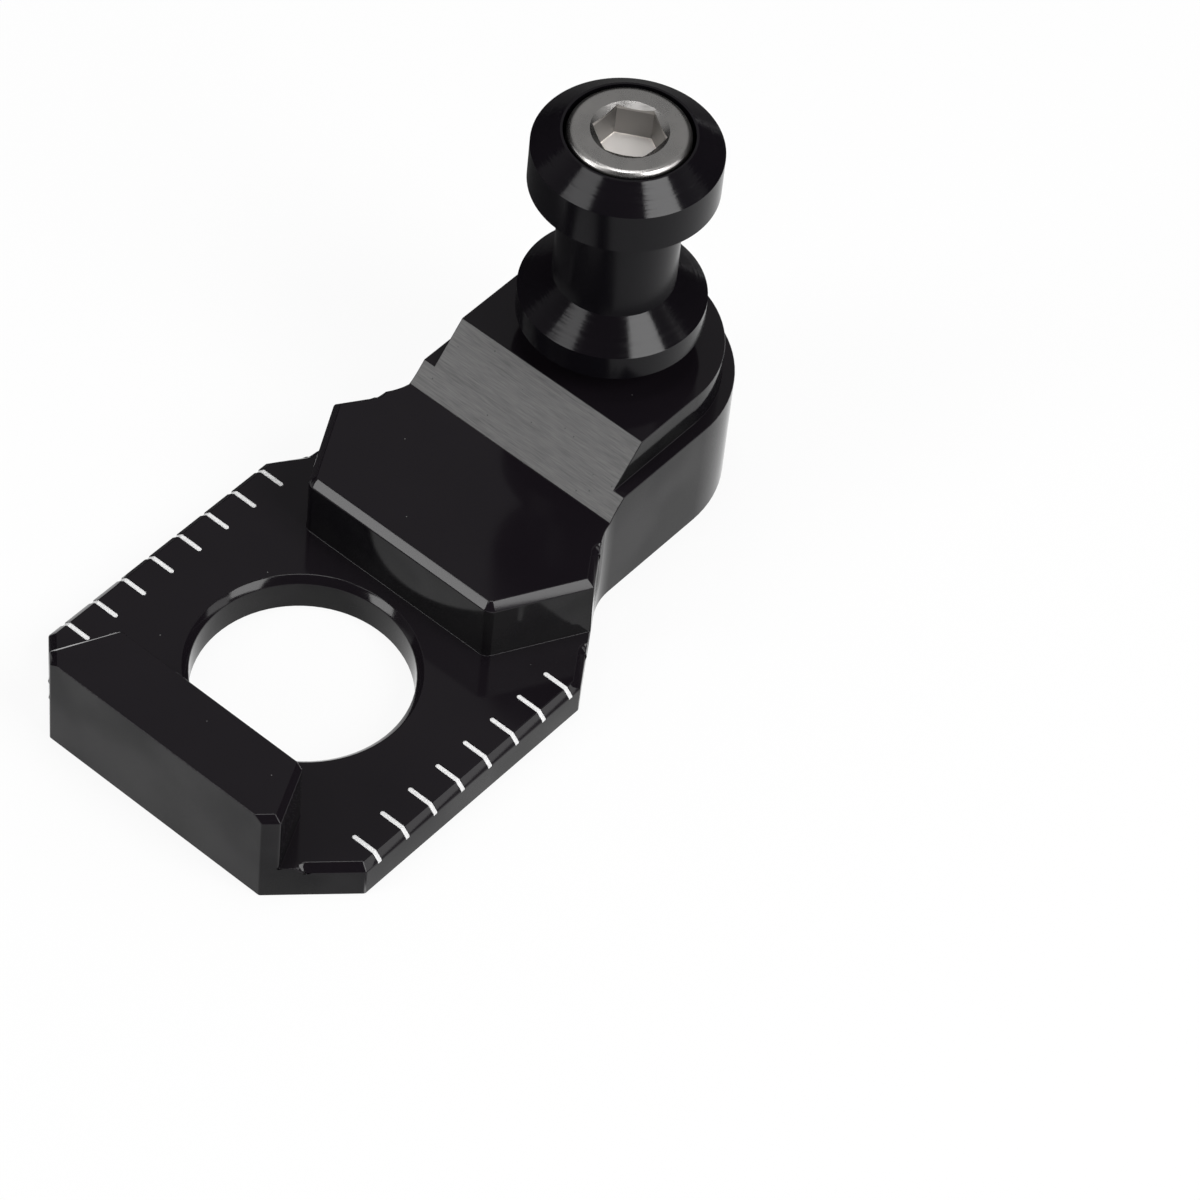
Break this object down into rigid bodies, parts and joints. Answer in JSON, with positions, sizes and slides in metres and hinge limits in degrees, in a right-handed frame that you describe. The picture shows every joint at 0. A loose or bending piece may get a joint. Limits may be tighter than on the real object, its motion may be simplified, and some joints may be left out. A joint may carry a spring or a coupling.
{
  "type": "motorcycle chain adjuster",
  "caption": "Black machined axle block with a raised end bar, scale marks and an arm that carries a turned stand spool held by a socket screw.",
  "frame": {"origin": "centre of the axle bore at the flat back of the block", "axes": "+Z along the bore axis, away from the swingarm; +X from the bore to the spool"},
  "size_m": [0.0987, 0.0528, 0.0588],
  "materials": {
    "block_black": "bright black anodised, machined",
    "spool_black": "satin black anodised, turned",
    "stainless": "plain stainless steel",
    "mark_paint": "white paint in the engraved marks"
  },
  "bodies": {
    "root": {"axle_block": "block_black", "spool": "spool_black", "spool_screw": "stainless"}
  },
  "joints": []
}
